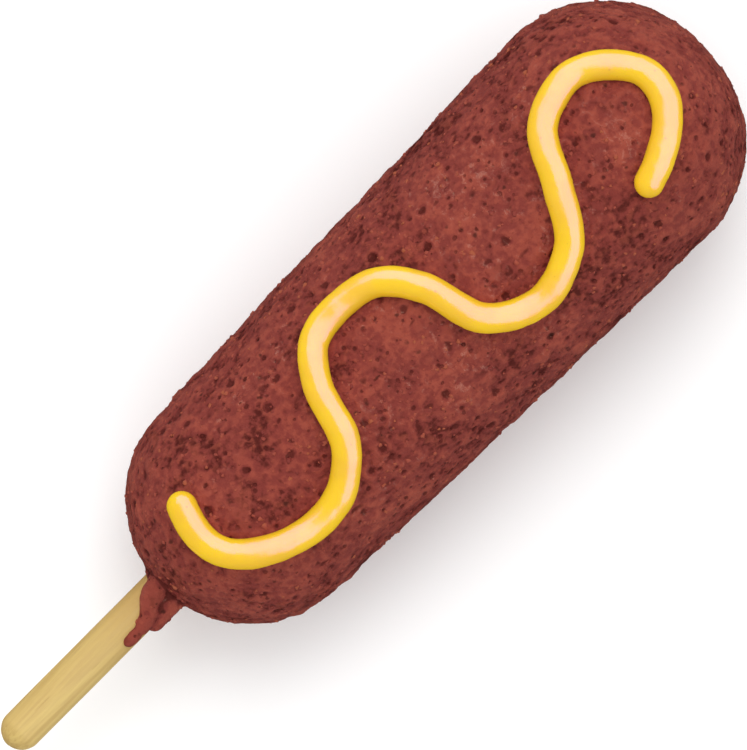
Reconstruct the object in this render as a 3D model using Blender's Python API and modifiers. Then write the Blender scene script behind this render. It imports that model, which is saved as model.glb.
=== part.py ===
"""Corn dog on a wooden stick, lying down with its squeezed mustard line on top.

Every piece is modelled upright, around one axis: +Z runs from the stick to the tip, -X is the
side that ends up on top and +Y is the left side seen from the stick. An empty then lays the
whole thing down along +X, tilted by half of the body's taper so that its underside is level.
The origin is on the resting plane, under the middle of the whole length.
"""

import math

import bmesh
import bpy
from mathutils import Vector
from mathutils.geometry import interpolate_bezier

# Driving dimensions, in metres.
BODY_LENGTH = 0.1162
TIP_RADIUS = 0.0212
TIP_DEPTH = 0.0208
TIP_ROUNDNESS = 2.1
END_RADIUS = 0.0191

STICK_RADIUS = 0.003175
STICK_SHOWN = 0.0335
STICK_LENGTH = 0.1143

MUSTARD_RADIUS = 0.00233
MUSTARD_LIFT = 0.0012

SLEEVE_RADIUS = 0.0040
SLEEVE_SIDE = -0.00032
SLEEVE_REACH = 0.0046
SLEEVE_BURIED = 0.004

FLAT_DEPTH = 0.0004
CLEARANCE = 0.0003

# The mustard line's route seen from above, in millimetres: along the body from its middle, and
# across it. The first and last points are the centres of its round ends.
MUSTARD_ROUTE = [
    (-46.5, 6.5), (-47.0, -2.5), (-39.5, -8.5), (-30.0, -9.5), (-22.5, -4.5), (-19.0, 5.0),
    (-13.5, 10.5), (-3.0, 10.0), (2.5, 4.0), (5.5, -5.5), (13.5, -10.0), (22.5, -7.0),
    (27.5, 0.5), (32.5, 8.5), (41.5, 10.5), (48.5, 4.0), (47.0, -3.5), (37.5, -9.0),
]

# The batter that ran down the stick and set there, in millimetres: distance out from the body,
# place across the stick, and radius of the run. One run lies on top and one on the right flank.
TOP_RUN = [
    (-1.5, 0.9, 2.1), (1.5, 0.25, 1.8), (3.2, -0.65, 1.5), (4.9, -1.6, 1.3),
    (6.8, -2.1, 1.05), (9.1, -2.15, 1.05),
]
SIDE_RUN = [(-1.0, -2.4, 1.9), (1.8, -2.6, 1.7), (4.7, -2.95, 1.35)]

# Fineness of the facets.
BODY_SIDES = 64
CAP_RINGS = 13
FLANK_RINGS = 6
STICK_SIDES = 24
STICK_END_RINGS = 5
SLEEVE_SIDES = 40
ROUTE_STEPS = 5
ROUND_END_STEPS = 4
ROUND_END_ANGLE = math.radians(85.0)
MERGE_DISTANCE = 0.00001
TABLE_BLOCK = 0.3

# Worked out from the dimensions above.
MM = 0.001
TIP_CENTRE = BODY_LENGTH / 2 - TIP_DEPTH
END_CENTRE = END_RADIUS - BODY_LENGTH / 2
STICK_END = -BODY_LENGTH / 2
TAPER = math.asin((TIP_RADIUS - END_RADIUS) / (TIP_CENTRE - END_CENTRE))
BORE_RADIUS = STICK_RADIUS + CLEARANCE


def clear_scene():
    for old in list(bpy.data.objects):
        bpy.data.objects.remove(old, do_unlink=True)


def new_collection(name):
    collection = bpy.data.collections.new(name)
    bpy.context.scene.collection.children.link(collection)
    return collection


def new_material(name, colour, roughness):
    material = bpy.data.materials.new(name)
    material.use_nodes = True
    shader = material.node_tree.nodes["Principled BSDF"]
    shader.inputs["Base Color"].default_value = (*colour, 1.0)
    shader.inputs["Roughness"].default_value = roughness
    shader.inputs["Metallic"].default_value = 0.0
    return material


def body_radius(along, grow=0.0):
    """Radius of the battered body at a place on its axis, or of the same shape grown outwards."""
    if along > TIP_CENTRE:
        reach = min((along - TIP_CENTRE) / (TIP_DEPTH + grow), 1.0)
        return (TIP_RADIUS + grow) * (1.0 - reach ** TIP_ROUNDNESS) ** (1.0 / TIP_ROUNDNESS)
    if along < END_CENTRE:
        reach = min((END_CENTRE - along) / (END_RADIUS + grow), 1.0)
        return (END_RADIUS + grow) * math.sqrt(1.0 - reach ** 2)
    share = (along - END_CENTRE) / (TIP_CENTRE - END_CENTRE)
    return END_RADIUS + share * (TIP_RADIUS - END_RADIUS) + grow


def body_outline(grow=0.0):
    """The body's profile from the middle of its tip down to the middle of its stick end."""
    places = []
    for ring in range(CAP_RINGS):
        angle = math.radians(90.0) * ring / CAP_RINGS
        places.append(TIP_CENTRE + (TIP_DEPTH + grow) * math.cos(angle))
    for ring in range(FLANK_RINGS + 1):
        places.append(TIP_CENTRE + (END_CENTRE - TIP_CENTRE) * ring / FLANK_RINGS)
    for ring in range(1, CAP_RINGS + 1):
        angle = math.radians(90.0) * ring / CAP_RINGS
        places.append(END_CENTRE - (END_RADIUS + grow) * math.sin(angle))
    return [(body_radius(place, grow), place) for place in places]


def stick_outline(radius, top, bottom):
    """A dowel's profile: square at the top, round at the bottom."""
    outline = [(0.0, top), (radius, top)]
    for ring in range(STICK_END_RINGS + 1):
        angle = math.radians(90.0) * ring / STICK_END_RINGS
        outline.append((radius * math.cos(angle), bottom + radius * (1.0 - math.sin(angle))))
    return outline


def turned(name, outline, sides, collection):
    """A turned solid: the outline, from top to bottom, swept once around Z."""
    mesh = bpy.data.meshes.new(name)
    points = [(radius if radius > MERGE_DISTANCE else 0.0, 0.0, height) for radius, height in outline]
    edges = [(index, index + 1) for index in range(len(points) - 1)]
    mesh.from_pydata(points, edges, [])
    solid = bpy.data.objects.new(name, mesh)
    collection.objects.link(solid)
    screw = solid.modifiers.new("turn", "SCREW")
    screw.axis = "Z"
    screw.steps = sides
    screw.render_steps = sides
    screw.use_merge_vertices = True
    screw.merge_threshold = MERGE_DISTANCE
    screw.use_smooth_shade = True
    return solid


def smooth_route(knots):
    """Points on one smooth curve through the knots, which are vectors of any size."""
    tangents = [(after - before) / 2 for before, after in zip(knots, knots[2:])]
    tangents.insert(0, 2 * (knots[1] - knots[0]) - tangents[0])
    tangents.append(2 * (knots[-1] - knots[-2]) - tangents[-1])
    points = []
    for index in range(len(knots) - 1):
        start, finish = knots[index], knots[index + 1]
        leave = start + tangents[index] / 3
        arrive = finish - tangents[index + 1] / 3
        points.extend(interpolate_bezier(start, leave, arrive, finish, ROUTE_STEPS + 1)[:-1])
    points.append(knots[-1])
    return points


def round_ended_tube(name, points, radii, collection):
    """A tube through the points, with a half-round end beyond each of the two last ones."""
    def end_points(last, before, radius):
        outwards = (last - before).normalized()
        ends = []
        for step in range(1, ROUND_END_STEPS + 1):
            angle = ROUND_END_ANGLE * step / ROUND_END_STEPS
            ends.append((last + outwards * radius * math.sin(angle), radius * math.cos(angle)))
        return ends

    head = end_points(points[0], points[1], radii[0])
    tail = end_points(points[-1], points[-2], radii[-1])
    stations = head[::-1] + list(zip(points, radii)) + tail

    curve = bpy.data.curves.new(name, "CURVE")
    curve.dimensions = "3D"
    curve.bevel_depth = 1.0
    curve.bevel_resolution = 4
    curve.use_fill_caps = True
    spline = curve.splines.new("POLY")
    spline.points.add(len(stations) - 1)
    for point, (place, radius) in zip(spline.points, stations):
        point.co = (*place, 1.0)
        point.radius = radius
    guide = bpy.data.objects.new(name + "_guide", curve)
    collection.objects.link(guide)

    bpy.context.view_layer.update()
    evaluated = guide.evaluated_get(bpy.context.evaluated_depsgraph_get())
    mesh = bpy.data.meshes.new_from_object(evaluated)
    mesh.name = name
    welded = bmesh.new()
    welded.from_mesh(mesh)
    bmesh.ops.remove_doubles(welded, verts=welded.verts, dist=MERGE_DISTANCE)
    welded.to_mesh(mesh)
    welded.free()
    tube = bpy.data.objects.new(name, mesh)
    tube.matrix_world = guide.matrix_world
    collection.objects.link(tube)
    bpy.data.objects.remove(guide, do_unlink=True)
    return tube


def boolean(solid, other, operation):
    modifier = solid.modifiers.new(other.name, "BOOLEAN")
    modifier.operation = operation
    modifier.solver = "EXACT"
    modifier.object = other


def adopt(solid, name, collection):
    """Names a new primitive and moves it into the collection."""
    solid.name = name
    for owner in list(solid.users_collection):
        owner.objects.unlink(solid)
    collection.objects.link(solid)


def make_sleeve(collection):
    """The batter that wraps the stick where it enters the body, longer on its right side."""
    bpy.ops.mesh.primitive_cylinder_add(vertices=SLEEVE_SIDES, radius=SLEEVE_RADIUS,
                                        depth=2 * SLEEVE_BURIED)
    sleeve = bpy.context.object
    adopt(sleeve, "sleeve", collection)
    slant = (SLEEVE_REACH + CLEARANCE) / (2 * SLEEVE_RADIUS)
    for vertex in sleeve.data.vertices:
        if vertex.co.z < 0.0:
            vertex.co.z = CLEARANCE - SLEEVE_BURIED + slant * (vertex.co.y - SLEEVE_RADIUS)
    sleeve.location = (0.0, SLEEVE_SIDE, STICK_END + SLEEVE_BURIED)
    return sleeve


def make_run(name, route, collection):
    """A run of set batter along the stick, its radius changing evenly between the route's knots."""
    knots = []
    radii = []
    for out, across, radius in route:
        height = math.sqrt(STICK_RADIUS ** 2 - (across * MM) ** 2)
        knots.append(Vector((-height, across * MM, STICK_END - out * MM)))
        radii.append(radius * MM)
    points = smooth_route(knots)
    sizes = []
    for index in range(len(points)):
        knot, step = divmod(index, ROUTE_STEPS)
        following = min(knot + 1, len(radii) - 1)
        sizes.append(radii[knot] + (radii[following] - radii[knot]) * step / ROUTE_STEPS)
    return round_ended_tube(name, points, sizes, collection)


def make_crust(collection, cutters):
    """The fried batter body, one solid with the batter that set on the stick."""
    crust = turned("crust", body_outline(), BODY_SIDES, collection)
    boolean(crust, make_sleeve(cutters), "UNION")
    boolean(crust, make_run("top_run", TOP_RUN, cutters), "UNION")
    boolean(crust, make_run("side_run", SIDE_RUN, cutters), "UNION")
    bore_top = STICK_END - STICK_SHOWN + STICK_LENGTH + CLEARANCE
    bore_bottom = STICK_END - STICK_SHOWN - 2 * STICK_RADIUS
    bore = turned("bore", stick_outline(BORE_RADIUS, bore_top, bore_bottom), STICK_SIDES, cutters)
    boolean(crust, bore, "DIFFERENCE")
    crust.data.materials.append(new_material("fried_batter", (0.235, 0.051, 0.040), 0.6))
    return crust


def make_floor_cutter(crust, cutters):
    """A block under the resting plane, which leaves the small flat that the body lies on."""
    bpy.ops.mesh.primitive_cube_add(size=TABLE_BLOCK, location=(0.0, 0.0, -TABLE_BLOCK / 2))
    block = bpy.context.object
    adopt(block, "below_the_table", cutters)
    boolean(crust, block, "DIFFERENCE")


def make_stick(collection):
    """A plain round dowel with a rounded end."""
    bottom = STICK_END - STICK_SHOWN
    outline = stick_outline(STICK_RADIUS, bottom + STICK_LENGTH, bottom)
    stick = turned("stick", outline, STICK_SIDES, collection)
    stick.data.materials.append(new_material("birch", (0.665, 0.462, 0.168), 0.7))
    return stick


def make_mustard(collection, cutters):
    """The squeezed line of mustard, lying on the crust with its foot shaped by it."""
    knots = [Vector((along * MM, across * MM, 0.0)) for along, across in MUSTARD_ROUTE]
    points = []
    for place in smooth_route(knots):
        along, across = place.x, place.y
        height = math.sqrt(body_radius(along, MUSTARD_LIFT) ** 2 - across ** 2)
        points.append(Vector((-height, across, along)))
    mustard = round_ended_tube("mustard", points, [MUSTARD_RADIUS] * len(points), collection)
    boolean(mustard, turned("crust_clearance", body_outline(CLEARANCE), BODY_SIDES, cutters), "DIFFERENCE")
    mustard.data.materials.append(new_material("mustard", (0.922, 0.578, 0.041), 0.3))
    return mustard


def lay_down(solids):
    """Hangs every upright solid on an empty that lies down with the underside level."""
    axis = bpy.data.objects.new("long_axis", None)
    bpy.context.scene.collection.objects.link(axis)
    height = END_RADIUS - FLAT_DEPTH - END_CENTRE * math.sin(TAPER)
    axis.location = (STICK_SHOWN / 2, 0.0, height)
    axis.rotation_euler = (0.0, math.radians(90.0) - TAPER, 0.0)
    for solid in solids:
        solid.parent = axis


def hide_cutters(cutters):
    for cutter in cutters.objects:
        cutter.hide_render = True
        cutter.display_type = "WIRE"


def main():
    clear_scene()
    pieces = new_collection("corn_dog")
    cutters = new_collection("cutters")
    crust = make_crust(pieces, cutters)
    make_stick(pieces)
    make_mustard(pieces, cutters)
    lay_down(list(pieces.objects) + list(cutters.objects))
    make_floor_cutter(crust, cutters)
    hide_cutters(cutters)


main()
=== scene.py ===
"""Corn dog: the finish of the fried crust, the mustard line and the wooden stick.

Every piece is modelled upright around one axis, as a maker would turn it: +Z runs from the stick
to the tip, -X is the side that ends up on top and +Y is the left side seen from the stick. It is
then laid down on the table by one matrix, which is worked out from the body's and the stick's
sizes.
"""

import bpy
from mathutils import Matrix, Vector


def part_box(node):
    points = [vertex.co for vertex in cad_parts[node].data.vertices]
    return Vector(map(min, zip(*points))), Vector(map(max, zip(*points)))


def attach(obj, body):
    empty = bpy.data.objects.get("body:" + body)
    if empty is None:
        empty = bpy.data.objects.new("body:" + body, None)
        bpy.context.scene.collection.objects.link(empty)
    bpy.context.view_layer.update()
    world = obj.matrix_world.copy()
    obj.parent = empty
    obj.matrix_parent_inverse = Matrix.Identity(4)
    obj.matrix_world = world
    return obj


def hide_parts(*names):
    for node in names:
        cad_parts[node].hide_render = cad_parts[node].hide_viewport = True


bl_info = {
    "name": "Corn Dog",
    "version": (1, 0, 0),
    "blender": (4, 5, 0),
    "location": "3D View > Sidebar > Corn Dog",
    "description": "Builds a fried corn dog with a mustard line on its stick, and a pale studio",
    "category": "Add Mesh",
}

import math

import bpy
import numpy as np
from bpy.props import FloatProperty, FloatVectorProperty, IntProperty, PointerProperty
from mathutils import Matrix, Quaternion, Vector
from mathutils.geometry import interpolate_bezier

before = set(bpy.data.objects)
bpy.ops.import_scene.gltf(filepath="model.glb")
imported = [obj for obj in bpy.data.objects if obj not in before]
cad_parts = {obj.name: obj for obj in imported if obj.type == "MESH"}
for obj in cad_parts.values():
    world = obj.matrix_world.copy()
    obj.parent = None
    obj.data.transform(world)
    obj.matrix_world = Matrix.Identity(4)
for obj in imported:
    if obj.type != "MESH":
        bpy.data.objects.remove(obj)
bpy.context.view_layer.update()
CRUST_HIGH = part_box("crust")[1]
STICK_LOW, STICK_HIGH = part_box("stick")

MM = 0.001
LEVEL = 0.000001        # what lies lower than this counts as the flat underside
HORIZON = 88.0          # degrees from overhead to the curved light's far edge
SENSOR_WIDTH = 36.0     # the camera's, in millimetres
VIEW_CENTRE_X = 0.0041  # the point on the table that the camera stands over

# The mustard line's route seen from above, in millimetres: along the body from its middle, and
# across it. The first and last points are the centres of its round ends.
MUSTARD_ROUTE = [
    (-46.5, 6.5), (-47.0, -2.5), (-39.5, -8.5), (-30.0, -9.5), (-22.5, -4.5), (-19.0, 5.0),
    (-13.5, 10.5), (-3.0, 10.0), (2.5, 4.0), (5.5, -5.5), (13.5, -10.0), (22.5, -7.0),
    (27.5, 0.5), (32.5, 8.5), (41.5, 10.5), (48.5, 4.0), (47.0, -3.5), (37.5, -9.0),
]

# The batter that ran down the stick and set there, in millimetres: distance out from the body,
# place across the stick, and radius of the run. One run lies on top and one on the right flank.
TOP_RUN = [
    (-1.5, 0.9, 2.1), (1.5, 0.25, 1.8), (3.2, -0.65, 1.5), (4.9, -1.6, 1.3),
    (6.8, -2.1, 1.05), (9.1, -2.15, 1.05),
]
SIDE_RUN = [(-1.0, -2.4, 1.9), (1.8, -2.6, 1.7), (4.7, -2.95, 1.35)]

# The near edge of the curved light that gives the shine, in degrees from overhead: to the left,
# and ahead towards the tip. Its far edge is the horizon.
SHINE_EDGE = [
    (-80.0, 8.0), (-45.0, -16.5), (0.0, -6.0), (38.0, -3.0), (44.0, -11.0), (56.0, -11.0),
    (64.0, 0.0), (80.0, 9.0),
]

# The corners of the arch of narrow lights over the crust: azimuth from the tip, and elevation.
GLINT_ARCH = [(88, 8), (85, 48), (0, 76), (-85, 48), (-88, 8)]

# How a texture's distance from the middle of each mark becomes height: a half is level.
PIT_RAMP = ((0.0, 0.0), (0.08, 0.08), (0.19, 0.50), (0.26, 0.57), (0.40, 0.50))
BLISTER_RAMP = ((0.0, 1.0), (0.08, 0.95), (0.20, 0.62), (0.27, 0.50))

# The crust's relief in the order it is raised: name, texture, size of its grain, height, and
# its settings.
CRUST_RELIEF = [
    ("hand dipped", "CLOUDS", 0.018, 0.0006, {"noise_depth": 1}),
    ("lumps", "CLOUDS", 0.0060, 0.0006, {"noise_depth": 2}),
    ("bubbles", "VORONOI", 0.0030, 0.00022, {"weight_1": -1.0, "weight_2": 1.0}),
    ("blisters", "VORONOI", 0.0085, 0.0006, {"ramp": BLISTER_RAMP}),
    ("craters", "VORONOI", 0.0046, 0.0008, {"ramp": PIT_RAMP}),
    ("pits", "VORONOI", 0.0024, 0.0005, {"ramp": PIT_RAMP}),
    ("crumbs", "VORONOI", 0.0016, 0.00022, {"weight_1": 1.0}),
    ("meal", "CLOUDS", 0.0011, 0.00016, {"noise_depth": 1}),
]


# --- What a user may change -------------------------------------------------------------------

def length_property(name, description, default):
    return FloatProperty(name=name, description=description, default=default, min=0.0,
                         unit="LENGTH", precision=5)


def colour_property(name, description, default):
    return FloatVectorProperty(name=name, description=description, default=default, size=3,
                               subtype="COLOR", min=0.0, max=1.0)


class CornDogCrust(bpy.types.PropertyGroup):
    length: length_property("Length", "Battered body from end to end", 0.1162)
    tip_radius: length_property("Tip radius", "Thickest radius, near the tip", CRUST_HIGH.y)
    tip_depth: length_property("Tip depth", "How far the round tip reaches", 0.0208)
    end_radius: length_property("End radius", "Radius near the stick", 0.0191)
    flat_depth: length_property("Flat depth", "How far the underside is pressed flat", 0.0004)
    sleeve_radius: length_property("Sleeve radius", "Batter wrapped round the stick", 0.0040)
    sleeve_side: length_property("Sleeve side", "How far the sleeve leans to the right", 0.00032)
    sleeve_reach: length_property("Sleeve reach", "Length of the sleeve on its long side", 0.0046)
    mesh_step: length_property("Mesh step", "Spacing of the mesh under the relief", 0.00022)
    triangles: IntProperty(name="Triangles", description="Size of the finished crust mesh",
                           default=190000)
    brown: colour_property("Brown", "Main colour of the fried batter", (0.194, 0.0328, 0.0265))
    # Besides the frying, the dark brown is painted into hollows and pits as painted shade, and the
    # light brown onto crests as painted light.
    dark: colour_property("Dark brown", "Where it fried darkest", (0.080, 0.0102, 0.0086))
    light: colour_property("Light brown", "Where it fried least", (0.312, 0.064, 0.0405))
    golden: colour_property("Golden", "Coarse meal that stayed golden", (0.330, 0.086, 0.036))
    scorched: colour_property("Scorched", "Specks that caught in the oil", (0.035, 0.008, 0.006))


class CornDogGrains(bpy.types.PropertyGroup):
    count: IntProperty(name="Count", description="How many grains of meal show", default=2100)
    smallest: length_property("Smallest", "Radius of the smallest grains", 0.00022)
    largest: length_property("Largest", "Radius of the largest grains", 0.00052)
    sunk: FloatProperty(name="Sunk", description="How deep a grain's middle lies, in radii",
                        default=0.45)
    clear_height: length_property("Clear height", "Underside that stays free of grains", 0.0010)
    seed: IntProperty(name="Seed", description="Start of the random scatter", default=7)


class CornDogMustard(bpy.types.PropertyGroup):
    radius: length_property("Radius", "Half of the bead's width", 0.00233)
    lift: length_property("Lift", "Height of the bead's middle over the crust", 0.0012)
    uneven: length_property("Unevenness", "How much the bead swells and thins", 0.00035)
    yellow: colour_property("Yellow", "Colour of the mustard", (0.870, 0.568, 0.014))


class CornDogStick(bpy.types.PropertyGroup):
    radius: length_property("Radius", "Radius of the dowel", (STICK_HIGH.y - STICK_LOW.y) / 2)
    shown: length_property("Shown", "Length that sticks out of the body", 0.0335)
    length: length_property("Length", "Whole length of the dowel", 0.1143)
    wood: colour_property("Wood", "Colour of the plain wood", (0.581, 0.413, 0.121))


class CornDogStage(bpy.types.PropertyGroup):
    lens: FloatProperty(name="Lens", description="Focal length in millimetres", default=600.0)
    view_height: length_property("View height", "Height of the view at the body's axis", 0.11366)
    roll: FloatProperty(name="Roll", description="Turn of the body in the view", subtype="ANGLE",
                        default=math.radians(45.2))
    reach: length_property("Reach", "Distance of the lights from the body", 1.2)
    key_azimuth: FloatProperty(name="Key azimuth", default=45.0,
                               description="Where the main light stands, in degrees from the tip")
    key_height: FloatProperty(name="Key height", default=60.0,
                              description="How high the main light stands, in degrees")
    key_size: length_property("Key size", "Side of the main light", 0.8)
    key_power: FloatProperty(name="Key power", description="Power of the main light", default=5.5,
                             unit="POWER")
    shine: FloatProperty(name="Shine", default=3.05,
                         description="Brightness of the curved light that gives the shine")
    glint_width: length_property("Glint width", "Width of the lights that glint in the oil", 0.07)
    glint_power: FloatProperty(name="Glint power", default=1.7, unit="POWER",
                               description="Power of each light that glints in the crust's oil")
    glint_colour: colour_property("Glint colour", "Colour of the lights that glint in the oil",
                                  (1.0, 0.82, 0.64))
    daylight: FloatProperty(name="Daylight", description="Brightness of the light from all round",
                            default=1.05)
    floor_size: length_property("Floor size", "Side of the table top", 12.0)
    paper: colour_property("Table", "Colour of the table top", (0.97, 0.97, 0.97))


# --- Shapes that the pieces share -------------------------------------------------------------

def body_places(crust):
    """The centres of the two round ends along the axis, and the taper's half angle."""
    tip_centre = crust.length / 2 - crust.tip_depth
    end_centre = crust.end_radius - crust.length / 2
    taper = math.asin((crust.tip_radius - crust.end_radius) / (tip_centre - end_centre))
    return tip_centre, end_centre, taper


def body_radius(crust, along, grow=0.0):
    """Radius of the body at a place on its axis, or of the same shape grown outwards."""
    roundness = 2.1
    tip_centre, end_centre, _ = body_places(crust)
    if along > tip_centre:
        reach = min((along - tip_centre) / (crust.tip_depth + grow), 1.0)
        return (crust.tip_radius + grow) * (1.0 - reach ** roundness) ** (1.0 / roundness)
    if along < end_centre:
        reach = min((end_centre - along) / (crust.end_radius + grow), 1.0)
        return (crust.end_radius + grow) * math.sqrt(1.0 - reach ** 2)
    share = (along - end_centre) / (tip_centre - end_centre)
    return crust.end_radius + share * (crust.tip_radius - crust.end_radius) + grow


def laying_matrix(crust, stick):
    """Turns an upright piece down onto the table, with the body's underside level."""
    _, end_centre, taper = body_places(crust)
    height = crust.end_radius - crust.flat_depth - end_centre * math.sin(taper)
    turn = Matrix.Rotation(math.radians(90.0) - taper, 4, "Y")
    return Matrix.Translation((stick.shown / 2, 0.0, height)) @ turn


def smooth_route(knots, steps):
    """Points on one smooth curve through the knots."""
    tangents = [(after - before) / 2 for before, after in zip(knots, knots[2:])]
    tangents.insert(0, 2 * (knots[1] - knots[0]) - tangents[0])
    tangents.append(2 * (knots[-1] - knots[-2]) - tangents[-1])
    points = []
    for index in range(len(knots) - 1):
        start, finish = knots[index], knots[index + 1]
        leave = start + tangents[index] / 3
        arrive = finish - tangents[index + 1] / 3
        points.extend(interpolate_bezier(start, leave, arrive, finish, steps + 1)[:-1])
    points.append(knots[-1])
    return points


# --- Modelling helpers ------------------------------------------------------------------------

def deselect_all():
    if bpy.context.mode != "OBJECT":
        bpy.ops.object.mode_set(mode="OBJECT")
    bpy.ops.object.select_all(action="DESELECT")


def make_active(piece):
    deselect_all()
    piece.select_set(True)
    bpy.context.view_layer.objects.active = piece


def edit_part(piece, keep):
    """Opens the piece in edit mode with the faces selected whose middle passes the test."""
    make_active(piece)
    for face in piece.data.polygons:
        face.select = keep(face.center)
    for edge in piece.data.edges:
        edge.select = False
    for vertex in piece.data.vertices:
        vertex.select = False
    for face in piece.data.polygons:
        if face.select:
            for index in face.vertices:
                piece.data.vertices[index].select = True
    bpy.ops.object.mode_set(mode="EDIT")
    bpy.ops.mesh.select_mode(type="FACE")


def apply_modifier(piece, name, kind, **settings):
    """Adds one modifier with its settings and applies it at once."""
    make_active(piece)
    modifier = piece.modifiers.new(name, kind)
    for setting, value in settings.items():
        setattr(modifier, setting, value)
    bpy.ops.object.modifier_apply(modifier=modifier.name)


def join_pieces(pieces, name):
    make_active(pieces[0])
    for piece in pieces:
        piece.select_set(True)
    bpy.ops.object.join()
    joined = bpy.context.object
    joined.name = name
    joined.data.name = name
    return joined


def tube_through(name, stations):
    """A closed round tube along a route of (place, radius)."""
    deselect_all()
    bpy.ops.curve.primitive_bezier_curve_add()
    guide = bpy.context.object
    curve = guide.data
    curve.splines.clear()
    curve.dimensions = "3D"
    curve.use_fill_caps = True
    curve.bevel_depth = 1.0
    curve.bevel_resolution = 10
    spline = curve.splines.new("POLY")
    spline.points.add(len(stations) - 1)
    for point, (place, radius) in zip(spline.points, stations):
        point.co = (*place, 1.0)
        point.radius = radius
    make_active(guide)
    bpy.ops.object.convert(target="MESH")
    tube = bpy.context.object
    tube.name = name
    tube.data.name = name
    bpy.ops.object.mode_set(mode="EDIT")
    bpy.ops.mesh.select_all(action="SELECT")
    bpy.ops.mesh.remove_doubles(threshold=0.00001)
    bpy.ops.mesh.normals_make_consistent(inside=False)
    bpy.ops.object.mode_set(mode="OBJECT")
    return tube


def relief(piece, name, kind, size, height, ramp=(), along=None, **settings):
    """Raises and sinks the surface with a texture, measured along an empty where one is given."""
    texture = bpy.data.textures.new(name, kind)
    texture.noise_scale = size
    for setting, value in settings.items():
        setattr(texture, setting, value)
    if ramp:
        texture.use_color_ramp = True
        stops = texture.color_ramp.elements
        while len(stops) < len(ramp):
            stops.new(0.5)
        for stop, (position, grey) in zip(stops, ramp):
            stop.position = position
            stop.color = (grey, grey, grey, 1.0)
    apply_modifier(piece, name, "DISPLACE", texture=texture, strength=height, mid_level=0.5,
                   texture_coords="OBJECT" if along else "LOCAL", texture_coords_object=along)


def mark_hollows(piece, name, rounds, reach):
    """Stores how far each point stands out of its surroundings: 0 in a pit, 1 on a crest."""
    mesh = piece.data
    count = len(mesh.vertices)
    places = np.empty(count * 3)
    mesh.vertices.foreach_get("co", places)
    places = places.reshape(-1, 3)
    normals = np.empty(count * 3)
    mesh.vertex_normals.foreach_get("vector", normals)
    normals = normals.reshape(-1, 3)
    edges = np.empty(len(mesh.edges) * 2, dtype=np.int64)
    mesh.edges.foreach_get("vertices", edges)
    first, second = edges.reshape(-1, 2).T
    degree = np.maximum(np.bincount(edges, minlength=count), 1)[:, None]
    smooth = places.copy()
    for _ in range(rounds):
        total = np.zeros_like(smooth)
        for axis in range(3):
            total[:, axis] += np.bincount(first, smooth[second, axis], count)
            total[:, axis] += np.bincount(second, smooth[first, axis], count)
        smooth = total / degree
    stand = ((places - smooth) * normals).sum(axis=1) / reach
    attribute = mesh.attributes.new(name, "FLOAT", "POINT")
    attribute.data.foreach_set("value", np.clip(0.5 + 0.5 * stand, 0.0, 1.0).astype(np.float32))


def finish_piece(piece, node, material):
    """Shades a piece, gives it its material, hangs it on the one body and hides the part it stands
    for.
    """
    make_active(piece)
    bpy.ops.object.shade_smooth()
    piece.data.materials.clear()
    piece.data.materials.append(material)
    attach(piece, "root")
    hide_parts(node)


# --- Materials --------------------------------------------------------------------------------

class Wiring:
    """Adds nodes to a tree and links them, left to right."""

    def __init__(self, tree):
        self.tree = tree
        self.column = 0

    def node(self, kind, inputs=(), **settings):
        made = self.tree.nodes.new(kind)
        made.location = (200 * self.column, 0)
        self.column += 1
        for setting, value in settings.items():
            setattr(made, setting, value)
        for socket, value in dict(inputs).items():
            self.feed(made.inputs[socket], value)
        return made

    def feed(self, socket, value):
        if isinstance(value, bpy.types.NodeSocket):
            self.tree.links.new(value, socket)
        else:
            socket.default_value = value

    def math(self, operation, first, second):
        return self.node("ShaderNodeMath", {0: first, 1: second}, operation=operation).outputs[0]

    def mix(self, amount, first, second):
        made = self.node("ShaderNodeMix", data_type="RGBA")
        self.feed(made.inputs["Factor"], amount)
        self.feed(made.inputs[6], first)
        self.feed(made.inputs[7], second)
        return made.outputs[2]

    def span(self, value, low, high, to_low=0.0, to_high=1.0):
        made = self.node("ShaderNodeMapRange", interpolation_type="SMOOTHSTEP")
        for socket, number in zip(range(5), (value, low, high, to_low, to_high)):
            self.feed(made.inputs[socket], number)
        return made.outputs[0]

    def bump(self, shader, height):
        """Raises the shading by a height in metres."""
        made = self.node("ShaderNodeBump", {"Height": height, "Strength": 1.0, "Distance": 1.0})
        self.feed(shader.inputs["Normal"], made.outputs["Normal"])


def rgba(colour):
    return (*colour, 1.0)


def new_material(name):
    material = bpy.data.materials.new(name)
    material.use_nodes = True
    shader = material.node_tree.nodes["Principled BSDF"]
    return material, shader, Wiring(material.node_tree)


def group_socket(group, name, direction, kind="NodeSocketFloat", default=None):
    socket = group.interface.new_socket(name=name, in_out=direction, socket_type=kind)
    if default is not None:
        socket.default_value = default


def uneven_group():
    """Slow, soft changes of tone over a surface: 0 to 1, with a mean near one half."""
    group = bpy.data.node_groups.get("uneven tone")
    if group:
        return group
    group = bpy.data.node_groups.new("uneven tone", "ShaderNodeTree")
    group_socket(group, "Vector", "INPUT", "NodeSocketVector")
    group_socket(group, "Size", "INPUT", default=0.01)
    group_socket(group, "Detail", "INPUT", default=3.0)
    group_socket(group, "Tone", "OUTPUT")
    wire = Wiring(group)
    given = wire.node("NodeGroupInput")
    scale = wire.math("DIVIDE", 1.0, given.outputs["Size"])
    noise = wire.node("ShaderNodeTexNoise", {"Vector": given.outputs["Vector"], "Scale": scale,
                                             "Detail": given.outputs["Detail"],
                                             "Roughness": 0.55})
    tone = wire.span(noise.outputs["Fac"], 0.3, 0.7)
    wire.node("NodeGroupOutput", {"Tone": tone})
    return group


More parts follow.
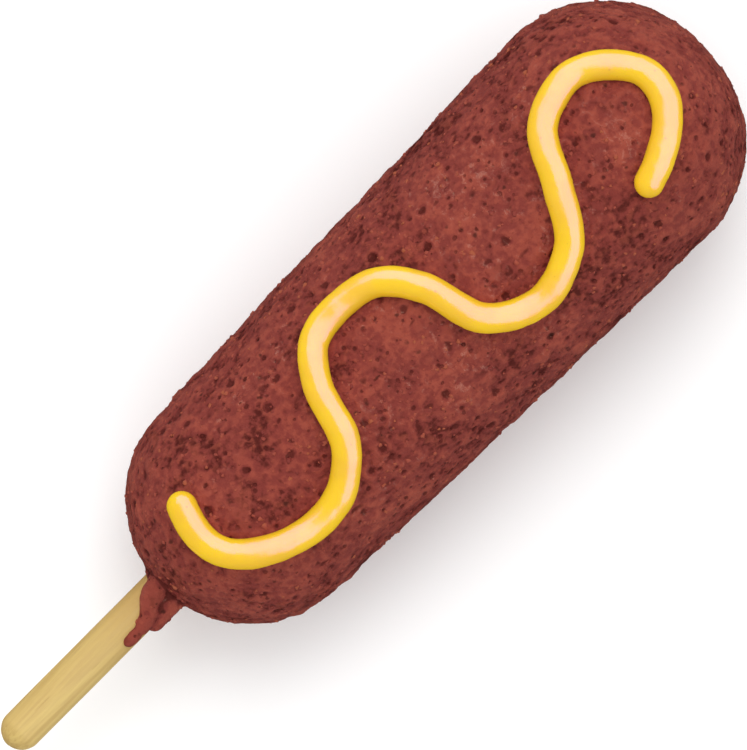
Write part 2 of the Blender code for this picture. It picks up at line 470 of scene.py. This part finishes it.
def flecks_group():
    """Scattered round marks: 1 in the middle of each, 0 between them."""
    group = bpy.data.node_groups.get("flecks")
    if group:
        return group
    group = bpy.data.node_groups.new("flecks", "ShaderNodeTree")
    group_socket(group, "Vector", "INPUT", "NodeSocketVector")
    group_socket(group, "Spacing", "INPUT", default=0.002)
    group_socket(group, "Width", "INPUT", default=0.3)
    group_socket(group, "Share", "INPUT", default=0.5)
    group_socket(group, "Mask", "OUTPUT")
    narrowest, core_share = 0.02, 0.35
    wire = Wiring(group)
    given = wire.node("NodeGroupInput")
    scale = wire.math("DIVIDE", 1.0, given.outputs["Spacing"])
    cells = wire.node("ShaderNodeTexVoronoi",
                      {"Vector": given.outputs["Vector"], "Scale": scale})
    random_value = wire.node("ShaderNodeSeparateColor", {"Color": cells.outputs["Color"]})
    width = wire.math("MULTIPLY", given.outputs["Width"], random_value.outputs["Green"])
    width = wire.math("ADD", width, narrowest)
    core = wire.math("MULTIPLY", width, core_share)
    dot = wire.span(cells.outputs["Distance"], core, width, 1.0, 0.0)
    chosen = wire.math("LESS_THAN", random_value.outputs["Red"], given.outputs["Share"])
    mask = wire.math("MULTIPLY", dot, chosen)
    wire.node("NodeGroupOutput", {"Mask": mask})
    return group


def uneven(wire, vector, size, detail=3.0):
    made = wire.node("ShaderNodeGroup", node_tree=uneven_group())
    for name, value in (("Vector", vector), ("Size", size), ("Detail", detail)):
        wire.feed(made.inputs[name], value)
    return made.outputs["Tone"]


def flecks(wire, vector, spacing, width, share):
    made = wire.node("ShaderNodeGroup", node_tree=flecks_group())
    given = (("Vector", vector), ("Spacing", spacing), ("Width", width), ("Share", share))
    for name, value in given:
        wire.feed(made.inputs[name], value)
    return made.outputs["Mask"]


def object_vector(wire):
    return wire.node("ShaderNodeTexCoord").outputs["Object"]


def scattered(wire, vector, size, reach):
    """The places pushed about by a noise, so that round marks on them come out ragged."""
    noise = wire.node("ShaderNodeTexNoise",
                      {"Vector": vector, "Scale": 1.0 / size, "Detail": 2.0})
    centred = wire.node("ShaderNodeVectorMath", {0: noise.outputs["Color"], 1: (0.5, 0.5, 0.5)},
                        operation="SUBTRACT")
    push = wire.node("ShaderNodeVectorMath", {0: centred.outputs[0], "Scale": reach},
                     operation="SCALE")
    pushed = wire.node("ShaderNodeVectorMath", {0: vector, 1: push.outputs[0]}, operation="ADD")
    return pushed.outputs[0]


def crust_material(crust):
    material, shader, wire = new_material("fried batter")
    place = object_vector(wire)
    broken = scattered(wire, place, size=0.0009, reach=0.0007)
    stand = wire.node("ShaderNodeAttribute", attribute_name="stand").outputs["Fac"]

    slow = uneven(wire, place, size=0.016, detail=2.0)
    patches = uneven(wire, broken, size=0.0045, detail=4.0)
    fine = uneven(wire, place, size=0.0010, detail=5.0)
    pits = flecks(wire, broken, spacing=0.0015, width=0.34, share=0.55)
    grains = flecks(wire, broken, spacing=0.0009, width=0.60, share=0.45)
    scorched = flecks(wire, broken, spacing=0.0021, width=0.26, share=0.40)

    tone = wire.math("ADD", wire.math("MULTIPLY", slow, 0.30), wire.math("MULTIPLY", patches, 0.35))
    # The fine tone also sets the bump height below, so the colour is darker where the bump sinks:
    # random tone and painted shade in the small lows together.
    tone = wire.math("ADD", tone, wire.math("MULTIPLY", fine, 0.35))
    colour = wire.mix(wire.span(tone, 0.15, 0.50), rgba(crust.dark), rgba(crust.brown))
    colour = wire.mix(wire.span(tone, 0.50, 0.90, 0.0, 0.8), colour, rgba(crust.light))
    colour = wire.mix(wire.math("MULTIPLY", grains, 0.50), colour, rgba(crust.light))
    # Painted light and shade: what stands out of its surroundings is painted lighter as light on
    # the crests, and the hollows darker as painted shade.
    colour = wire.mix(wire.span(stand, 0.60, 1.0, 0.0, 0.45), colour, rgba(crust.light))
    colour = wire.mix(wire.span(stand, 0.40, 0.05, 0.0, 0.80), colour, rgba(crust.dark))
    # Painted shade: the pits that the bump sinks are painted dark, as the shade inside them.
    colour = wire.mix(wire.math("MULTIPLY", pits, 0.60), colour, rgba(crust.dark))
    colour = wire.mix(wire.math("MULTIPLY", scorched, 0.70), colour, rgba(crust.scorched))
    wire.feed(shader.inputs["Base Color"], colour)

    wire.feed(shader.inputs["Roughness"], wire.span(patches, 0.0, 1.0, 0.45, 0.65))
    shader.inputs["Specular IOR Level"].default_value = 0.12
    shader.inputs["Specular Tint"].default_value = (1.0, 0.80, 0.66, 1.0)
    oil = wire.math("MULTIPLY", slow, fine)
    wire.feed(shader.inputs["Coat Weight"], wire.span(oil, 0.2, 0.7, 0.0, 0.55))
    shader.inputs["Coat Roughness"].default_value = 0.13
    shader.inputs["Coat IOR"].default_value = 1.30

    fine_height, grain_height, pit_depth = 0.00010, 0.00010, 0.00020
    height = wire.math("MULTIPLY", fine, fine_height)
    height = wire.math("ADD", height, wire.math("MULTIPLY", grains, grain_height))
    height = wire.math("SUBTRACT", height, wire.math("MULTIPLY", pits, pit_depth))
    wire.bump(shader, height)
    return material


def grain_material(crust):
    material, shader, wire = new_material("fried meal")
    place = object_vector(wire)
    fine_height = 0.00004
    tone = uneven(wire, place, size=0.0022, detail=1.0)
    fine = uneven(wire, place, size=0.0003, detail=3.0)
    colour = wire.mix(wire.span(tone, 0.0, 0.7), rgba(crust.brown), rgba(crust.light))
    colour = wire.mix(wire.span(tone, 0.6, 1.0, 0.0, 0.7), colour, rgba(crust.golden))
    wire.feed(shader.inputs["Base Color"], colour)
    wire.feed(shader.inputs["Roughness"], wire.span(fine, 0.0, 1.0, 0.45, 0.65))
    shader.inputs["Specular IOR Level"].default_value = 0.15
    wire.bump(shader, wire.math("MULTIPLY", fine, fine_height))
    return material


def mustard_material(mustard):
    material, shader, wire = new_material("mustard")
    place = object_vector(wire)
    spice = (0.50, 0.22, 0.02)
    swell_height, fine_height = 0.00004, 0.000012
    slow = uneven(wire, place, size=0.006, detail=2.0)
    fine = uneven(wire, place, size=0.0007, detail=3.0)
    broken = scattered(wire, place, size=0.0009, reach=0.0005)
    specks = flecks(wire, broken, spacing=0.0012, width=0.20, share=0.35)
    deep = tuple(value * share for value, share in zip(mustard.yellow, (0.92, 0.84, 0.75)))
    colour = wire.mix(wire.span(slow, 0.0, 1.0, 0.0, 0.6), rgba(mustard.yellow), rgba(deep))
    colour = wire.mix(wire.math("MULTIPLY", specks, 0.30), colour, rgba(spice))
    wire.feed(shader.inputs["Base Color"], colour)
    wire.feed(shader.inputs["Roughness"], wire.span(slow, 0.0, 1.0, 0.18, 0.24))
    shader.inputs["IOR"].default_value = 1.6
    shader.inputs["Specular IOR Level"].default_value = 1.0
    shader.inputs["Specular Tint"].default_value = (1.0, 0.08, 1.0, 1.0)
    shader.inputs["Subsurface Weight"].default_value = 0.12
    shader.inputs["Subsurface Radius"].default_value = (1.0, 0.6, 0.1)
    shader.inputs["Subsurface Scale"].default_value = 0.001
    height = wire.math("ADD", wire.math("MULTIPLY", fine, fine_height),
                       wire.math("MULTIPLY", slow, swell_height))
    wire.bump(shader, height)
    return material


def stick_end_x(stick):
    """Where the battered body ends and the bare stick begins."""
    return STICK_LOW.x + stick.shown


def wood_material(stick):
    material, shader, wire = new_material("plain wood")
    place = object_vector(wire)
    stretched = wire.node("ShaderNodeMapping", {"Vector": place, "Scale": (0.06, 1.0, 1.0)})
    fibre_height, pore_depth = 0.00004, 0.00004
    fibres = uneven(wire, stretched.outputs[0], size=0.0006, detail=4.0)
    bands = uneven(wire, stretched.outputs[0], size=0.0025, detail=2.0)
    pores = flecks(wire, stretched.outputs[0], spacing=0.0005, width=0.3, share=0.35)
    dark = tuple(value * share for value, share in zip(stick.wood, (0.72, 0.62, 0.50)))
    oiled = tuple(value * share for value, share in zip(stick.wood, (0.66, 0.48, 0.30)))
    tone = wire.math("ADD", wire.math("MULTIPLY", fibres, 0.5), wire.math("MULTIPLY", bands, 0.5))
    colour = wire.mix(wire.span(tone, 0.1, 0.9, 0.6, 0.0), rgba(stick.wood), rgba(dark))
    colour = wire.mix(wire.math("MULTIPLY", pores, 0.4), colour, rgba(dark))
    ragged = 0.010
    stain_start, stain_full = stick_end_x(stick) - 0.012, stick_end_x(stick) + 0.005
    along = wire.node("ShaderNodeSeparateXYZ", {0: place}).outputs["X"]
    soaked = wire.math("ADD", along, wire.math("MULTIPLY", tone, ragged))
    soaked = wire.span(soaked, stain_start, stain_full, 0.0, 0.60)
    colour = wire.mix(soaked, colour, rgba(oiled))
    rounded = 0.0012
    end_grain = wire.span(along, STICK_LOW.x + rounded, STICK_LOW.x, 0.0, 0.35)
    colour = wire.mix(end_grain, colour, rgba(dark))
    wire.feed(shader.inputs["Base Color"], colour)
    wire.feed(shader.inputs["Roughness"], wire.span(fibres, 0.0, 1.0, 0.55, 0.7))
    height = wire.math("SUBTRACT", wire.math("MULTIPLY", fibres, fibre_height),
                       wire.math("MULTIPLY", pores, pore_depth))
    wire.bump(shader, height)
    return material


# --- The pieces -------------------------------------------------------------------------------

def blank_body(crust):
    """A round-ended body: a ball whose tip half is drawn out and grown to the tip's size."""
    tip_centre, end_centre, _ = body_places(crust)
    deselect_all()
    bpy.ops.mesh.primitive_uv_sphere_add(segments=96, ring_count=48, radius=crust.end_radius,
                                         location=(0.0, 0.0, end_centre))
    bpy.ops.object.transform_apply(location=True, rotation=False, scale=False)
    body = bpy.context.object
    edit_part(body, lambda centre: centre.z > end_centre)
    draw_out = (0.0, 0.0, tip_centre - end_centre)
    bpy.ops.mesh.extrude_region_move(TRANSFORM_OT_translate={"value": draw_out})
    bpy.ops.object.mode_set(mode="OBJECT")
    barely = 0.0001
    for vertex in body.data.vertices:
        if vertex.co.z > tip_centre - barely:
            depth = (vertex.co.z - tip_centre) / crust.end_radius
            vertex.co.z = tip_centre + depth * crust.tip_depth
            side = Vector((vertex.co.x, vertex.co.y))
            if side.length > 0.0:
                side = side.normalized() * body_radius(crust, vertex.co.z)
                vertex.co.x, vertex.co.y = side
    return body


def blank_sleeve(crust):
    """The batter that wraps the stick, cut at a slant so that it is longer on the right."""
    bury = 0.004
    stick_end = -crust.length / 2
    bpy.ops.mesh.primitive_cylinder_add(vertices=64, radius=crust.sleeve_radius, depth=2 * bury)
    sleeve = bpy.context.object
    slant = crust.sleeve_reach / (2 * crust.sleeve_radius)
    for vertex in sleeve.data.vertices:
        if vertex.co.z < 0.0:
            vertex.co.z = -bury + slant * (vertex.co.y - crust.sleeve_radius)
        vertex.co.y -= crust.sleeve_side
        vertex.co.z += stick_end + bury
    return sleeve


def round_ends(points, radii, steps):
    """The stations of a route, with a half-round end beyond its first and last point."""
    almost_square = math.radians(88.0)

    def end(last, before, radius):
        outwards = (last - before).normalized()
        made = []
        for step in range(1, steps + 1):
            angle = almost_square * step / steps
            made.append((last + outwards * radius * math.sin(angle), radius * math.cos(angle)))
        return made

    head = end(points[0], points[1], radii[0])
    tail = end(points[-1], points[-2], radii[-1])
    return head[::-1] + list(zip(points, radii)) + tail


def blank_run(name, route, crust, stick):
    """A run of set batter along the stick, its radius changing evenly between the route's knots."""
    stick_end = -crust.length / 2
    knots = []
    radii = []
    for out, across, radius in route:
        height = math.sqrt(stick.radius ** 2 - (across * MM) ** 2)
        knots.append(Vector((-height, across * MM, stick_end - out * MM)))
        radii.append(radius * MM)
    steps = 8
    points = smooth_route(knots, steps)
    sizes = []
    for index in range(len(points)):
        knot, step = divmod(index, steps)
        following = min(knot + 1, len(radii) - 1)
        sizes.append(radii[knot] + (radii[following] - radii[knot]) * step / steps)
    return tube_through(name, round_ends(points, sizes, steps=6))


def make_crust(crust, stick):
    top_run = blank_run("top run", TOP_RUN, crust, stick)
    side_run = blank_run("side run", SIDE_RUN, crust, stick)
    body = join_pieces([blank_body(crust), blank_sleeve(crust), top_run, side_run], "crust_skin")
    apply_modifier(body, "even mesh", "REMESH", mode="VOXEL", voxel_size=crust.mesh_step)
    apply_modifier(body, "soften", "SMOOTH", factor=0.5, iterations=12)
    for name, kind, size, height, settings in CRUST_RELIEF:
        relief(body, name, kind, size, height, **settings)
    triangles = len(body.data.polygons) * 2
    apply_modifier(body, "lighten", "DECIMATE", ratio=min(crust.triangles / triangles, 1.0))
    body.data.transform(laying_matrix(crust, stick))
    mark_hollows(body, "stand", rounds=12, reach=0.00012)
    for vertex in body.data.vertices:
        vertex.co.z = max(vertex.co.z, 0.0)
    return body


def lump(radius, seed):
    """One small irregular grain, as its points, scaled to a radius of one, and its triangles."""
    deselect_all()
    bpy.ops.mesh.primitive_ico_sphere_add(subdivisions=2, radius=radius,
                                          location=(seed, 0.0, 0.0))
    bpy.ops.object.transform_apply(location=True, rotation=False, scale=False)
    grain = bpy.context.object
    relief(grain, "grain", "CLOUDS", radius * 1.1, radius * 1.3, noise_depth=0)
    apply_modifier(grain, "lighten", "DECIMATE", ratio=0.6)
    places = np.array([vertex.co for vertex in grain.data.vertices]) - (seed, 0.0, 0.0)
    faces = np.array([face.vertices for face in grain.data.polygons])
    bpy.data.objects.remove(grain, do_unlink=True)
    return places / radius, faces


def make_grains(grains, body):
    """Coarse meal that stands out of the crust: many half-sunk grains in one mesh."""
    kinds = [lump(0.001, seed) for seed in range(1, 6)]
    draw = np.random.default_rng(grains.seed)
    mesh = body.data
    count = len(mesh.polygons)
    areas = np.empty(count)
    mesh.polygons.foreach_get("area", areas)
    middles = np.empty(count * 3)
    mesh.polygons.foreach_get("center", middles)
    normals = np.empty(count * 3)
    mesh.polygons.foreach_get("normal", normals)
    middles, normals = middles.reshape(-1, 3), normals.reshape(-1, 3)
    areas[middles[:, 2] < grains.clear_height] = 0.0
    places = []
    faces = []
    total = 0
    for index in draw.choice(count, size=grains.count, replace=False, p=areas / areas.sum()):
        shape, triangles = kinds[draw.integers(len(kinds))]
        size = grains.smallest + (grains.largest - grains.smallest) * draw.random() ** 2
        spin = Quaternion((0.0, 0.0, 1.0), draw.random() * math.tau)
        turn = Vector(normals[index]).to_track_quat("Z", "Y") @ spin
        stretch = np.array((size * (0.8 + 0.5 * draw.random()), size, size * 0.75))
        turned = (shape * stretch) @ np.array(turn.to_matrix()).T
        places.append(turned + middles[index] - normals[index] * size * grains.sunk)
        faces.append(triangles + total)
        total += len(shape)
    made = bpy.data.meshes.new("meal grains")
    made.from_pydata(np.concatenate(places).tolist(), [], np.concatenate(faces).tolist())
    piece = bpy.data.objects.new("meal_grains", made)
    bpy.context.scene.collection.objects.link(piece)
    return piece


def make_mustard(mustard, crust, stick):
    """A squeezed bead along its route on the crust, a little thicker here and thinner there."""
    knots = [Vector((along * MM, across * MM, 0.0)) for along, across in MUSTARD_ROUTE]
    middle = []
    for place in smooth_route(knots, steps=30):
        radius = body_radius(crust, place.x, mustard.lift)
        middle.append(Vector((-math.sqrt(radius ** 2 - place.y ** 2), place.y, place.x)))
    radii = [mustard.radius] * len(middle)
    bead = tube_through("mustard_line", round_ends(middle, radii, steps=8))
    relief(bead, "swell", "CLOUDS", 0.0055, mustard.uneven, noise_depth=1)
    relief(bead, "ripple", "CLOUDS", 0.0016, mustard.uneven / 5, noise_depth=1)
    bead.data.transform(laying_matrix(crust, stick))
    return bead


def make_stick(stick, crust):
    """A dowel with a rounded end."""
    deselect_all()
    bottom = -crust.length / 2 - stick.shown
    bpy.ops.mesh.primitive_uv_sphere_add(segments=64, ring_count=32, radius=stick.radius,
                                         location=(0.0, 0.0, bottom + stick.radius))
    bpy.ops.object.transform_apply(location=True, rotation=False, scale=False)
    dowel = bpy.context.object
    dowel.name = "wooden_stick"
    dowel.data.name = "wooden_stick"
    edit_part(dowel, lambda centre: centre.z > bottom + stick.radius)
    draw_out = (0.0, 0.0, stick.length - 2 * stick.radius)
    bpy.ops.mesh.extrude_region_move(TRANSFORM_OT_translate={"value": draw_out})
    bpy.ops.mesh.select_mode(type="EDGE")
    bpy.ops.mesh.select_all(action="DESELECT")
    bpy.ops.object.mode_set(mode="OBJECT")
    for edge in dowel.data.edges:
        start, finish = (dowel.data.vertices[index].co for index in edge.vertices)
        edge.select = (start - finish).length > stick.length / 2
    bpy.ops.object.mode_set(mode="EDIT")
    bpy.ops.mesh.subdivide(number_cuts=220)
    bpy.ops.object.mode_set(mode="OBJECT")
    fibre = bpy.data.objects.new("fibre direction", None)
    bpy.context.scene.collection.objects.link(fibre)
    fibre.scale = (1.0, 1.0, 30.0)
    bpy.context.view_layer.update()
    relief(dowel, "fibres", "CLOUDS", 0.0007, 0.00010, noise_depth=2, along=fibre)
    relief(dowel, "year rings", "CLOUDS", 0.0025, 0.00010, noise_depth=1, along=fibre)
    bpy.data.objects.remove(fibre, do_unlink=True)
    dowel.data.transform(laying_matrix(crust, stick))
    return dowel


# --- Operators --------------------------------------------------------------------------------

class CORNDOG_OT_crust(bpy.types.Operator):
    """Model the fried crust with the batter that set on the stick"""
    bl_idname = "corn_dog.crust"
    bl_label = "Make Crust"

    def execute(self, context):
        scene = context.scene
        body = make_crust(scene.corn_dog_crust, scene.corn_dog_stick)
        finish_piece(body, "crust", crust_material(scene.corn_dog_crust))
        for face in body.data.polygons:
            face.use_smooth = face.center.z > LEVEL
        return {"FINISHED"}


class CORNDOG_OT_grains(bpy.types.Operator):
    """Scatter the coarse meal over the crust"""
    bl_idname = "corn_dog.grains"
    bl_label = "Scatter Grains"

    def execute(self, context):
        scene = context.scene
        piece = make_grains(scene.corn_dog_grains, bpy.data.objects["crust_skin"])
        finish_piece(piece, "crust", grain_material(scene.corn_dog_crust))
        return {"FINISHED"}


class CORNDOG_OT_mustard(bpy.types.Operator):
    """Squeeze the mustard line onto the crust"""
    bl_idname = "corn_dog.mustard"
    bl_label = "Make Mustard"

    def execute(self, context):
        scene = context.scene
        bead = make_mustard(scene.corn_dog_mustard, scene.corn_dog_crust, scene.corn_dog_stick)
        finish_piece(bead, "mustard", mustard_material(scene.corn_dog_mustard))
        return {"FINISHED"}


class CORNDOG_OT_stick(bpy.types.Operator):
    """Turn the wooden stick"""
    bl_idname = "corn_dog.stick"
    bl_label = "Make Stick"

    def execute(self, context):
        scene = context.scene
        dowel = make_stick(scene.corn_dog_stick, scene.corn_dog_crust)
        finish_piece(dowel, "stick", wood_material(scene.corn_dog_stick))
        return {"FINISHED"}


def toward(azimuth, elevation):
    """A direction from the table in degrees, its azimuth counted from the tip."""
    turn, rise = math.radians(azimuth), math.radians(elevation)
    level = math.cos(rise)
    return Vector((level * math.cos(turn), level * math.sin(turn), math.sin(rise)))


def new_lamp(name, size, power, place, along, facing):
    """A rectangular light that the camera can't see, its long side lying along a direction."""
    data = bpy.data.lights.new(name, "AREA")
    data.shape = "RECTANGLE"
    data.size, data.size_y = size
    data.energy = power
    lamp = bpy.data.objects.new(name, data)
    bpy.context.scene.collection.objects.link(lamp)
    side = facing.cross(along)
    turn = Matrix((along, side, facing)).transposed().to_4x4()
    lamp.matrix_world = Matrix.Translation(place) @ turn
    lamp.visible_camera = False
    return lamp


def key_light(name, target, reach, azimuth, elevation, size, power):
    """A square soft light that faces the target and shows in no reflection."""
    away = toward(azimuth, elevation)
    along = away.cross(Vector((0.0, 0.0, 1.0))).normalized()
    lamp = new_lamp(name, (size, size), power, target + away * reach, along, away)
    lamp.visible_glossy = False
    return lamp


def strip_light(name, target, reach, start, finish, width, power):
    """A long narrow light between two directions that shows in reflections only."""
    first = target + toward(*start) * reach
    last = target + toward(*finish) * reach
    place = (first + last) / 2
    along = (last - first).normalized()
    facing = place - target
    facing = (facing - along * facing.dot(along)).normalized()
    lamp = new_lamp(name, ((last - first).length, width), power, place, along, facing)
    lamp.visible_diffuse = False
    return lamp


def only_on(lamp, names):
    """Lets a light fall on the named pieces alone."""
    lit = bpy.data.collections.new(lamp.name)
    for name in names:
        lit.objects.link(bpy.data.objects[name])
    lamp.light_linking.receiver_collection = lit


def shine_panel(name, target, reach, edge, strength):
    """A curved light from overhead down to the table on the tip side, which mirrors in a round
    bead as one broad stripe. Its outline is laid out in degrees from overhead."""
    deselect_all()
    bpy.ops.mesh.primitive_grid_add(x_subdivisions=32, y_subdivisions=32, size=2.0)
    panel = bpy.context.object
    panel.name = name
    sides, aheads = zip(*edge)
    for vertex in panel.data.vertices:
        side = float(np.interp(vertex.co.y, (-1.0, 1.0), (sides[0], sides[-1])))
        horizon = math.sqrt(HORIZON ** 2 - side ** 2)
        near = float(np.interp(side, sides, aheads))
        ahead = near + (horizon - near) * (vertex.co.x + 1.0) / 2
        vertex.co = target + reach * toward(math.degrees(math.atan2(side, ahead)),
                                            90.0 - math.hypot(side, ahead))
    material, shader, _ = new_material(name)
    shader.inputs["Base Color"].default_value = (0.0, 0.0, 0.0, 1.0)
    shader.inputs["Emission Color"].default_value = (1.0, 1.0, 1.0, 1.0)
    shader.inputs["Emission Strength"].default_value = strength
    panel.data.materials.append(material)
    panel.visible_camera = False
    panel.visible_diffuse = False
    panel.visible_shadow = False
    return panel


class CORNDOG_OT_stage(bpy.types.Operator):
    """Set up the pale table, the soft light and the camera overhead"""
    bl_idname = "corn_dog.stage"
    bl_label = "Make Stage"

    def execute(self, context):
        scene = context.scene
        stage = scene.corn_dog_stage
        crust = scene.corn_dog_crust
        stick = scene.corn_dog_stick
        scene.view_settings.view_transform = "Standard"

        world = bpy.data.worlds.new("studio")
        world.use_nodes = True
        world.node_tree.nodes["Background"].inputs["Color"].default_value = (1.0, 1.0, 1.0, 1.0)
        world.node_tree.nodes["Background"].inputs["Strength"].default_value = stage.daylight
        scene.world = world
        world.cycles_visibility.glossy = False

        deselect_all()
        bpy.ops.mesh.primitive_plane_add(size=stage.floor_size)
        floor = bpy.context.object
        floor.name = "table"
        material, shader, _ = new_material("table top")
        shader.inputs["Base Color"].default_value = rgba(stage.paper)
        shader.inputs["Roughness"].default_value = 0.9
        floor.data.materials.append(material)
        floor.visible_glossy = False

        centre = laying_matrix(crust, stick).translation
        target = Vector((0.0, 0.0, centre.z))
        key_light("key light", target, stage.reach, stage.key_azimuth, stage.key_height,
                  stage.key_size, stage.key_power)
        panel = shine_panel("shine", target, stage.reach, SHINE_EDGE, stage.shine)
        only_on(panel, ("mustard_line", "wooden_stick"))
        for number, (start, finish) in enumerate(zip(GLINT_ARCH, GLINT_ARCH[1:])):
            strip = strip_light(f"glint {number}", target, stage.reach, start, finish,
                                stage.glint_width, stage.glint_power)
            strip.data.color = stage.glint_colour
            only_on(strip, ("crust_skin", "meal_grains"))

        lens = bpy.data.cameras.new("camera")
        lens.lens = stage.lens
        lens.sensor_width = SENSOR_WIDTH
        lens.clip_end = 50.0
        camera = bpy.data.objects.new("camera", lens)
        scene.collection.objects.link(camera)
        distance = stage.view_height * stage.lens / SENSOR_WIDTH
        camera.location = (VIEW_CENTRE_X, 0.0, centre.z + distance)
        camera.rotation_euler = (0.0, 0.0, -stage.roll)
        scene.camera = camera
        return {"FINISHED"}


class CORNDOG_PT_panel(bpy.types.Panel):
    """Lists the corn dog's pieces"""
    bl_idname = "CORNDOG_PT_panel"
    bl_label = "Corn Dog"
    bl_space_type = "VIEW_3D"
    bl_region_type = "UI"
    bl_category = "Corn Dog"

    def draw(self, context):
        for operator in OPERATORS:
            self.layout.operator(operator.bl_idname)
        for name in SETTINGS:
            self.layout.label(text=name.replace("_", " "))
            group = getattr(context.scene, name)
            for field in group.__annotations__:
                self.layout.prop(group, field)


SETTINGS = {
    "corn_dog_crust": CornDogCrust,
    "corn_dog_grains": CornDogGrains,
    "corn_dog_mustard": CornDogMustard,
    "corn_dog_stick": CornDogStick,
    "corn_dog_stage": CornDogStage,
}
OPERATORS = (CORNDOG_OT_crust, CORNDOG_OT_grains, CORNDOG_OT_mustard, CORNDOG_OT_stick,
             CORNDOG_OT_stage)


def register():
    for name, group in SETTINGS.items():
        bpy.utils.register_class(group)
        setattr(bpy.types.Scene, name, PointerProperty(type=group))
    for operator in OPERATORS:
        bpy.utils.register_class(operator)
    bpy.utils.register_class(CORNDOG_PT_panel)


def unregister():
    bpy.utils.unregister_class(CORNDOG_PT_panel)
    for operator in reversed(OPERATORS):
        bpy.utils.unregister_class(operator)
    for name, group in SETTINGS.items():
        delattr(bpy.types.Scene, name)
        bpy.utils.unregister_class(group)


def main():
    register()
    bpy.ops.corn_dog.crust()
    bpy.ops.corn_dog.grains()
    bpy.ops.corn_dog.mustard()
    bpy.ops.corn_dog.stick()
    bpy.ops.corn_dog.stage()


if __name__ == "__main__":
    main()
